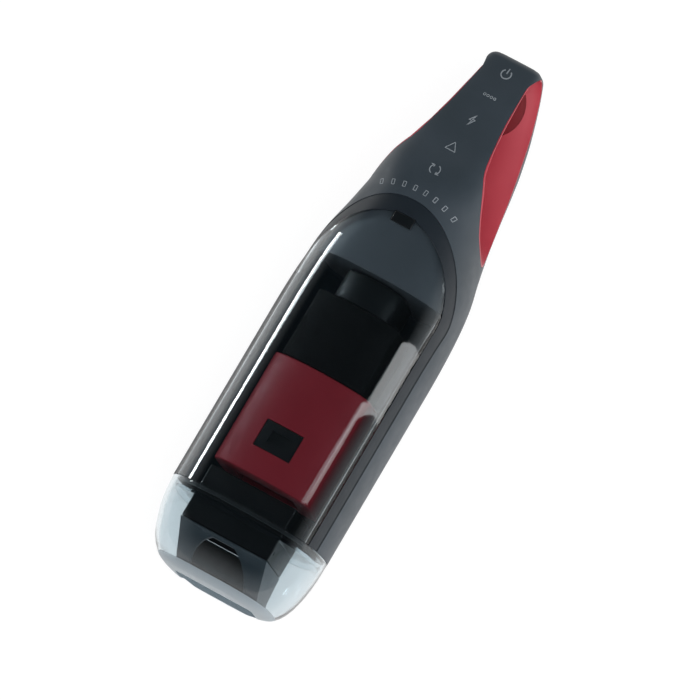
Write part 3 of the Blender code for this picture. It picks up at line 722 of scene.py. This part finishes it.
def beside_plate():
    """Upright solids outside both long edges of the handle's top plate."""
    sides = []
    for side in (-1, 1):
        edge = [(side * x, y) for y, x in PLATE_EDGES]
        plan = edge + [(side * 70, edge[-1][1]), (side * 70, edge[0][1])]
        sides.append(new_object("beside_plate", loft([[(x, y, z) for x, y in plan]
                                                      for z in (PLATE_FOOT, 100)])))
    return sides


def shade_pad_zone(inset):
    """Upright oval prism where the deeper red pad, painted shade under the handle's top plate, is let into
    the floor of the handle opening.
    """
    bm = bmesh.new()
    bmesh.ops.create_cone(bm, cap_ends=True, segments=96, radius1=1.0, radius2=1.0, depth=1.0)
    bmesh.ops.scale(bm, vec=(SHADE_PAD_HALF[0] - inset, SHADE_PAD_HALF[1] - inset, 26.0), verts=bm.verts)
    bmesh.ops.translate(bm, vec=(0, SHADE_PAD_CENTRE, 33.0), verts=bm.verts)
    return new_object("shade_pad_zone", bm)


def latch_notch():
    """Room for the release button in the dust cup's rear edge and the trim behind it."""
    half_x, half_y = LATCH_SIZE[0] / 2 + GAP, LATCH_SIZE[1] / 2 + GAP
    return box("latch_notch", (-half_x, LATCH_CENTRE - half_y, 60), (half_x, LATCH_CENTRE + half_y, 110))


def make_trim():
    trim = arch_prism("arch_band", EAR_HALF_WIDTH - BAND_GAP, ARC_REACH - BAND_GAP, RAIL_LIP + GAP, 120)
    trim.data.materials.append(LOOKS["trim_plastic"])
    cut(trim, arch_prism("cup_opening", EAR_HALF_WIDTH - BAND_SIDE, ARC_REACH - BAND_TOP, 0, 130,
                         FRONT_EDGE - 20))
    keep_inside(trim, body_solid("outline", FRONT_EDGE, 90, BAND_RECESS))
    cut(trim, body_solid("inside", FRONT_EDGE - 8, 95, BAND_RECESS + BAND_DEPTH))
    cut(trim, latch_notch())
    fit(smooth(trim), "housing", "trim_plastic", "cup_trim")


def make_bulkhead():
    plug = body_solid("bulkhead", BULKHEAD_FRONT, BULKHEAD_REAR, BULKHEAD_INSET, BULKHEAD_TOP_HALF)
    plug.data.materials.append(LOOKS["bulkhead_plastic"])
    inner = BULKHEAD_INSET + BULKHEAD_WALL
    cut(plug, body_solid("motor_bay", BULKHEAD_FRONT + BULKHEAD_WALL, BULKHEAD_REAR + 4, inner,
                         BULKHEAD_TOP_HALF - BULKHEAD_WALL))
    cut(plug, box("cell_room", (-60, 54.8, -10), (60, 80, 25.5)))
    cut(plug, rod("air_hole", (0, BULKHEAD_FRONT - 2, MOTOR_HEIGHT), AIR_HOLE_RADIUS, 8, "Y"))
    cut(plug, rod("stem_hole", (0, LATCH_CENTRE, 74), STEM_BORE, 14, "Z"))
    cut(plug, *exhaust_slots())
    fit(smooth(plug), "housing", "bulkhead_plastic", "motor_bulkhead")


def make_button():
    """Release button: a low block with rounded edges on its stem."""
    half_x, half_y = LATCH_SIZE[0] / 2, LATCH_SIZE[1] / 2
    cap = box("release_button", (-half_x, LATCH_CENTRE - half_y, BUTTON_LOW),
              (half_x, LATCH_CENTRE + half_y, BUTTON_TOP), LOOKS["button_plastic"], 0.5, 3)
    join(cap, rod("stem", (0, LATCH_CENTRE, STEM_FOOT), STEM_RADIUS, BUTTON_LOW - STEM_FOOT + 0.5, "Z"))
    fit(smooth(cap), "latch", "button_plastic", "latch_button")


def make_latch_spring():
    """Compression spring under the button's stem: wire wound three times, drawn at one fixed length."""
    length = STEM_FOOT - GAP - SPRING_FOOT - 2 * SPRING_WIRE
    steps = SPRING_TURNS * SPRING_STEPS
    around = [2 * math.pi * k / WIRE_SIDES for k in range(WIRE_SIDES)]
    upward = Vector((0, 0, 1))
    rings = []
    for i in range(steps + 1):
        angle = 2 * math.pi * i / SPRING_STEPS
        outward = Vector((math.cos(angle), math.sin(angle), 0))
        rise = SPRING_FOOT + SPRING_WIRE + length * i / steps
        centre = Vector((0, LATCH_CENTRE, rise)) + SPRING_RADIUS * outward
        rings.append([centre + SPRING_WIRE * (math.cos(t) * outward + math.sin(t) * upward)
                      for t in around])
    spring = new_object("coil_spring", loft(rings), LOOKS["spring_steel"])
    fit(smooth(spring, 60), "housing", "spring_steel", "latch_spring")
    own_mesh(spring)


def make_cup():
    half = EAR_HALF_WIDTH - BAND_SIDE - GAP
    cup = cup_solid("clear_cup", FRONT_EDGE, 70, 0.0, FAR)
    cup.data.materials.append(LOOKS["clear_plastic"])
    keep_inside(cup, arch_prism("plan", half, ARC_REACH - BAND_TOP - GAP, -10, 130))
    cut(cup, cup_solid("inside", FRONT_EDGE - 6, 80, CUP_WALL, half - CUP_WALL))
    cut(cup, box("rear_foot", (-60, BULKHEAD_FRONT - 2, -10), (60, 80, 58)))
    cut(cup, latch_notch())
    fit(smooth(cup), "cup", "clear_plastic", "dust_cup")


def make_nozzle():
    rear = FRONT_EDGE - GAP
    nozzle = nozzle_solid("clear_nozzle", rear, NOZZLE_TIP, 0.0)
    nozzle.data.materials.append(LOOKS["clear_plastic"])
    cut(nozzle, nozzle_solid("inside", rear + 5, NOZZLE_TIP + NOZZLE_WALL, NOZZLE_WALL))
    low, high = MOUTH_HEIGHTS
    cut(nozzle, box("mouth", (-MOUTH_HALF, -200, low), (MOUTH_HALF, -170, high), None, 3.0, 4))
    nozzle.data.materials.append(LOOKS["frosted_lip"])
    for face in nozzle.data.polygons:
        if face.center.y < LIP_START * MM:
            face.material_index = 1
    fit(smooth(nozzle), "cup", "clear_plastic", "nozzle")


def make_mouth_shade_sheet():
    """Near-black tray on the guide's floor and sides: painted shade, so that the mouth stays dark behind
    the window.
    """
    lining = frustum("mouth_shade_sheet", -157.5, (27.3, 29.0, 52.0), -176.5, (26.3, 14.0, 30.0),
                     LOOKS["mouth_shade_sheet"])
    cut(lining, frustum("way", -150, (26.6, 34.6, 90.0), -186, (25.4, 9.6, 80.0)))
    fit(smooth(lining), "cup", "duct_plastic")


def frustum(name, rear_y, rear, front_y, front, look=None):
    """A four-sided funnel solid; rear and front are (half width, low z, high z)."""
    rings = []
    for y, (half, low, high) in ((rear_y, rear), (front_y, front)):
        rings.append([(-half, y, low), (half, y, low), (half, y, high), (-half, y, high)])
    return new_object(name, loft(rings), look)


def make_inlet():
    """Black duct through a clear partition, a grey guide from the mouth, and the one-way flap."""
    (front, rear), (low, high) = DUCT_REACH, DUCT_HEIGHTS
    duct = box("duct", (-DUCT_HALF, front, low), (DUCT_HALF, rear, high), LOOKS["duct_plastic"], 1.2, 3)
    cut(duct, box("way", (-DUCT_WAY_HALF, -170, low + 2.2), (DUCT_WAY_HALF, -110, high - 2.2)))
    cut(duct, box("drop", (-DUCT_WAY_HALF, -134, 10), (DUCT_WAY_HALF, -110, 40)))
    cut(duct, rod("pin_hole", (-40, HINGE_Y, HINGE_HEIGHT), PIN_BORE, 80, "X"))
    fit(smooth(duct), "cup", "duct_plastic", "inlet_duct")
    partition = loft([nozzle_outline(y, NOZZLE_WALL + 4 * GAP) for y in PARTITION_REACH])
    partition = new_object("partition", partition, LOOKS["clear_plastic"])
    cut(partition, box("duct_room", (-DUCT_HALF - 0.1, front - 4, low - 0.1),
                       (DUCT_HALF + 0.1, rear + 1, high + 0.1)))
    fit(smooth(partition), "cup", "clear_plastic")
    guide = frustum("guide", -156.3, (29.7, 26, 72), -177.5, (28.2, 11, 39), LOOKS["guide_plastic"])
    cut(guide, frustum("way", -150, (27.7, 32.4, 77.4), -186, (26.4, 7.6, 26.4)))
    window = rod("window", (0, WINDOW_EDGE, 31), WINDOW_RADIUS, 69, "Z", 96)
    cut(window, box("front_half", (-30, -220, 0), (30, WINDOW_EDGE, 130)))
    cut(window, box("rear_stop", (-30, -158.3, 0), (30, -130, 130)))
    cut(guide, window)
    fit(smooth(guide), "cup", "guide_plastic", "mouth_guide")
    flap = box("flap", (-FLAP_HALF, -150.7, 30), (FLAP_HALF, -150.7 + FLAP_THICKNESS, 68.6),
               LOOKS["flap_rubber"], 0.3, 2)
    join(flap, rod("knuckle", (-FLAP_HALF, HINGE_Y, HINGE_HEIGHT), 2.0, 2 * FLAP_HALF, "X"))
    cut(flap, rod("knuckle_bore", (-30, HINGE_Y, HINGE_HEIGHT), PIN_BORE - 0.05, 60, "X"))
    fit(smooth(flap), "flap", "flap_rubber", "flap_valve")


def crowned_solid(name, start, stop, half, low, side, crown, look=None, bevel=0.0):
    """A block along Y with upright sides and an arched top."""
    rings = []
    for y in (start, stop):
        ring = [(-half, y, low), (half, y, low)]
        for i in range(CROWN_STEPS + 1):
            x = half * math.cos(math.pi * i / CROWN_STEPS)
            ring.append((x, y, side + (crown - side) * math.sqrt(max(1 - (x / half) ** 2, 0))))
        rings.append(ring)
    obj = new_object(name, loft(rings), look)
    return soften(obj, bevel, 3, 30) if bevel else obj


def make_filter():
    """Filter cartridge: red frame with a screened window, black outer filter and its collar."""
    (front, rear), (low, side, crown) = FRAME_REACH, FRAME_HEIGHTS
    shell = crowned_solid("red_frame", front, rear, FRAME_HALF, low, side, crown, LOOKS["filter_red"], 1.0)
    cut(shell, crowned_solid("inside", front + FRAME_WALL, -30, FRAME_HALF - FRAME_WALL, low + FRAME_WALL,
                             side - 2, crown - FRAME_WALL))
    cut(shell, box("window", (-SCREEN_HALF, SCREEN_REACH[0], 60), (SCREEN_HALF, SCREEN_REACH[1], 100)))
    cut(shell, box("front_window", (-20, -130, 32), (20, -110, 54)))
    fit(smooth(shell), "filter", "filter_red", "filter_frame")
    half = SCREEN_HALF - SCREEN_GAP
    screen = box("screen", (-half, SCREEN_REACH[0] + SCREEN_GAP, 73.8),
                 (half, SCREEN_REACH[1] - SCREEN_GAP, 77.2), LOOKS["screen_black"], 0.3, 2)
    cut(screen, box("well", (-6, -95, 75.6), (6, -87, 90)))
    fit(smooth(screen), "filter", "screen_black", "filter_screen")
    element = crowned_solid("outer_filter", *ELEMENT_REACH, ELEMENT_HALF, *ELEMENT_HEIGHTS,
                            LOOKS["filter_black"], 1.2)
    fit(smooth(element), "filter", "filter_black", "filter_element")
    collar = crowned_solid("collar", *COLLAR_REACH, COLLAR_HALF, *COLLAR_HEIGHTS,
                           LOOKS["collar_plastic"], 0.8)
    cut(collar, rod("air_way", (0, 8, MOTOR_HEIGHT), AIR_HOLE_RADIUS, 20, "Y"))
    fit(smooth(collar), "filter", "collar_plastic", "filter_collar")


def dress_packed_nodes():
    """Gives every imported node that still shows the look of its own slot."""
    for part in frame["record"]["subparts"]:
        packed = frame["nodes"][part["node"]].data.materials
        packed.clear()
        packed.append(LOOKS[part["material_slot"]])


def stroke(bm, points, width, closed=False):
    """A thin printed line on the plate: an edge across the line, extruded from point to point."""
    points = [Vector(p) for p in points]
    if closed:
        points = points + [points[0]]
    sides = []
    for i, point in enumerate(points):
        if closed and i in (0, len(points) - 1):
            before, after = points[-2], points[1]
        else:
            before, after = points[max(i - 1, 0)], points[min(i + 1, len(points) - 1)]
        run_in, run_out = (point - before), (after - point)
        run = run_in.normalized() + run_out.normalized()
        across = Vector((-run.y, run.x)).normalized() * width / 2
        pair = (point + across, point - across)
        sides.append([(p.x, p.y, top_height(p.x, p.y) + INK_LIFT) for p in pair])
    ends = [bm.verts.new(co) for co in sides[0]]
    edge = bm.edges.new(ends)
    made = []
    for pair in sides[1:]:
        grown = bmesh.ops.extrude_edge_only(bm, edges=[edge])["geom"]
        made += [part for part in grown if isinstance(part, bmesh.types.BMFace)]
        fresh = {part for part in grown if isinstance(part, bmesh.types.BMVert)}
        edge = next(part for part in grown
                    if isinstance(part, bmesh.types.BMEdge) and set(part.verts) <= fresh)
        ends = [next(e.other_vert(v) for e in v.link_edges if e.other_vert(v) in fresh) for v in ends]
        for vert, co in zip(ends, pair):
            vert.co = co
    bmesh.ops.solidify(bm, geom=made, thickness=-INK_DEPTH)


def arc_points(x, y, radius, start, stop, count=16):
    """Points on a circle about (x, y), from one angle to another in degrees, clockwise from +Y."""
    angles = [math.radians(start + (stop - start) * i / count) for i in range(count + 1)]
    return [(x + radius * math.sin(a), y + radius * math.cos(a)) for a in angles]


def fine(points):
    """The same broken line with points no further apart than MARK_STEP."""
    made = [Vector(points[0])]
    for a, b in zip(points, points[1:]):
        a, b = Vector(a), Vector(b)
        count = max(1, math.ceil((b - a).length / MARK_STEP))
        made += [a.lerp(b, (i + 1) / count) for i in range(count)]
    return made


def make_marks():
    """Touch symbols down the middle of the plate: power, dust, charge, warning and cycle, in pale ink."""
    bm = bmesh.new()
    stroke(bm, arc_points(0, 171.2, 3.1, 38, 322, 30), 0.75)
    stroke(bm, fine([(0, 171.6), (0, 175.4)]), 0.75)
    for x in (-3.4, -1.1, 1.2, 3.5):
        stroke(bm, arc_points(x, 153.5, 0.75, 0, 360, 10)[:-1], 0.45, True)
    bolt = [(1.0, 138.8), (-1.9, 134.3), (0.2, 134.5), (-1.0, 130.6), (1.9, 135.4), (-0.1, 135.2)]
    stroke(bm, fine(bolt + bolt[:1])[:-1], 0.5, True)
    warning = [(-3.4, 111.2), (3.4, 111.2), (0.0, 117.2)]
    stroke(bm, fine(warning + warning[:1])[:-1], 0.5, True)
    for turn in (0, 180):
        stroke(bm, arc_points(0, 95.6, 3.2, turn + 20, turn + 145, 16), 0.6)
        tip = arc_points(0, 95.6, 3.2, turn + 20, turn + 150, 1)[1]
        for reach in (2.1, 4.6):
            stroke(bm, fine([tip, arc_points(0, 95.6, reach, turn + 122, turn + 123, 1)[0]]), 0.5)
    fit(new_object("touch_marks", bm, LOOKS["marks"]), "housing", "slate_plastic")


def make_level_marks():
    """Eight small outlined windows on an arc behind the trim, for the battery level lights."""
    bm = bmesh.new()
    middle = (LEVEL_COUNT - 1) / 2
    wide, long = LEVEL_HALF
    for i in range(LEVEL_COUNT):
        turn = (i - middle) / middle
        x, y = LEVEL_SPREAD * turn, LEVEL_MIDDLE - LEVEL_SAG * turn * turn
        lean = Matrix.Rotation(-LEVEL_LEAN * turn, 2)
        corners = [(-wide, -long), (wide, -long), (wide, long), (-wide, long)]
        outline = [Vector((x, y)) + lean @ Vector(c) for c in corners]
        stroke(bm, fine(outline + outline[:1])[:-1], LEVEL_LINE, True)
    fit(new_object("level_marks", bm, LOOKS["marks"]), "housing", "slate_plastic")


SIDE_TILT = math.radians(16.0)
FRONT_TILT = math.radians(8.0)
TURN = math.radians(30.5)
CAMERA_DISTANCE = 6.0
VIEW_WIDTH = 0.4165
SENSOR = 36.0
AIM = Vector((0.0, 0.0, 0.045))
SHIFT_RIGHT = -0.0089
SHIFT_UP = -0.0157


def view_axes():
    """The view's right, up and towards-the-camera directions."""
    across = Vector((math.cos(SIDE_TILT), 0, -math.sin(SIDE_TILT)))
    lengthwise = Vector((math.sin(SIDE_TILT) * math.sin(FRONT_TILT), math.cos(FRONT_TILT),
                         math.cos(SIDE_TILT) * math.sin(FRONT_TILT)))
    right = math.sin(TURN) * lengthwise + math.cos(TURN) * across
    up = math.cos(TURN) * lengthwise - math.sin(TURN) * across
    return right, up, right.cross(up)


def place_camera():
    right, up, back = view_axes()
    lens = bpy.data.cameras.new("camera")
    lens.sensor_width = SENSOR
    lens.lens = SENSOR * CAMERA_DISTANCE / VIEW_WIDTH
    lens.clip_end = 20.0
    camera = bpy.data.objects.new("camera", lens)
    bpy.context.collection.objects.link(camera)
    target = AIM + SHIFT_RIGHT * right + SHIFT_UP * up
    place = Matrix((right, up, back)).transposed().to_4x4()
    place.translation = target + CAMERA_DISTANCE * back
    camera.matrix_world = place
    bpy.context.scene.camera = camera


def area_light(name, direction, distance, size, radiance, target=(0, -0.02, 0.05), glossy=True):
    """A soft box in the given direction from the target; its second size lies along Y."""
    data = bpy.data.lights.new(name, "AREA")
    data.shape = "RECTANGLE"
    data.size, data.size_y = size
    data.energy = radiance * math.pi * size[0] * size[1]
    lamp = bpy.data.objects.new(name, data)
    bpy.context.collection.objects.link(lamp)
    towards = Vector(direction).normalized()
    side = Vector((0, 1, 0)).cross(towards).normalized()
    place = Matrix((side, towards.cross(side), towards)).transposed().to_4x4()
    place.translation = Vector(target) + distance * towards
    lamp.matrix_world = place
    lamp.visible_glossy = glossy
    lamp.visible_transmission = glossy
    return lamp


def light_studio():
    middle = (0.036, -0.022, 0.075)
    area_light("right panel", (0.94, 0.139, 0.27), 0.5, (0.45, 0.064), 2.5, middle)
    area_light("right strip", (0.72, 0.139, 0.69), 0.5, (0.06, 0.075), 2.8, (0.034, -0.086, 0.08))
    area_light("left strip", (-0.963, 0.139, 0.232), 1.1, (0.09, 0.30), 22.0, (-0.034, -0.028, 0.08))
    area_light("overhead fill", (0.25, -0.15, 1.0), 1.6, (1.6, 1.6), 2.7, glossy=False)
    area_light("right fill", (1.0, -0.1, 0.6), 1.4, (0.9, 0.9), 2.6, glossy=False)
    world = bpy.data.worlds.new("studio")
    world.use_nodes = True
    tree = world.node_tree
    tree.nodes.clear()
    rays = add(tree, "ShaderNodeLightPath", {})
    towards = add(tree, "ShaderNodeTexCoord", {}).outputs["Generated"]
    height = add(tree, "ShaderNodeSeparateXYZ", {"Vector": towards}).outputs["Z"]
    cove = add(tree, "ShaderNodeValToRGB", {"Fac": height})
    for stop, (place, shade) in zip(cove.color_ramp.elements, ((0.0, "e4eaee"), (0.55, "2c3033"))):
        stop.position = place
        stop.color = linear(shade)
    dim = add(tree, "ShaderNodeBackground", {"Color": cove.outputs["Color"], "Strength": 0.9})
    bright = add(tree, "ShaderNodeBackground", {"Color": linear("fdfdfd"), "Strength": 1.0})
    mixed = add(tree, "ShaderNodeMixShader", {"Fac": rays.outputs["Is Camera Ray"]})
    tree.links.new(dim.outputs["Background"], mixed.inputs[1])
    tree.links.new(bright.outputs["Background"], mixed.inputs[2])
    output = add(tree, "ShaderNodeOutputWorld", {})
    tree.links.new(mixed.outputs["Shader"], output.inputs["Surface"])
    bpy.context.scene.world = world
    bpy.context.scene.view_settings.view_transform = "Standard"


def make_floor():
    """A plain white sweep, lit from behind so that it stays even."""
    bm = bmesh.new()
    bmesh.ops.create_grid(bm, x_segments=2, y_segments=2, size=4000)
    bmesh.ops.translate(bm, vec=(0, 0, -0.05), verts=bm.verts)
    made, tree, place, output = blank("white acrylic floor")
    shader = add(tree, "ShaderNodeBsdfPrincipled",
                 {"Base Color": linear("7c7c7c"), "Roughness": 0.9, "Emission Color": linear("ffffff"),
                  "Emission Strength": 0.88})
    tree.links.new(shader.outputs["BSDF"], output.inputs["Surface"])
    new_object("floor", bm, made)


place_camera()
light_studio()
make_floor()
make_upper_shell()
make_lower_shell()
make_liner()
make_trim()
make_bulkhead()
make_button()
make_latch_spring()
make_cup()
make_nozzle()
make_inlet()
make_mouth_shade_sheet()
make_filter()
make_marks()
make_level_marks()
dress_packed_nodes()
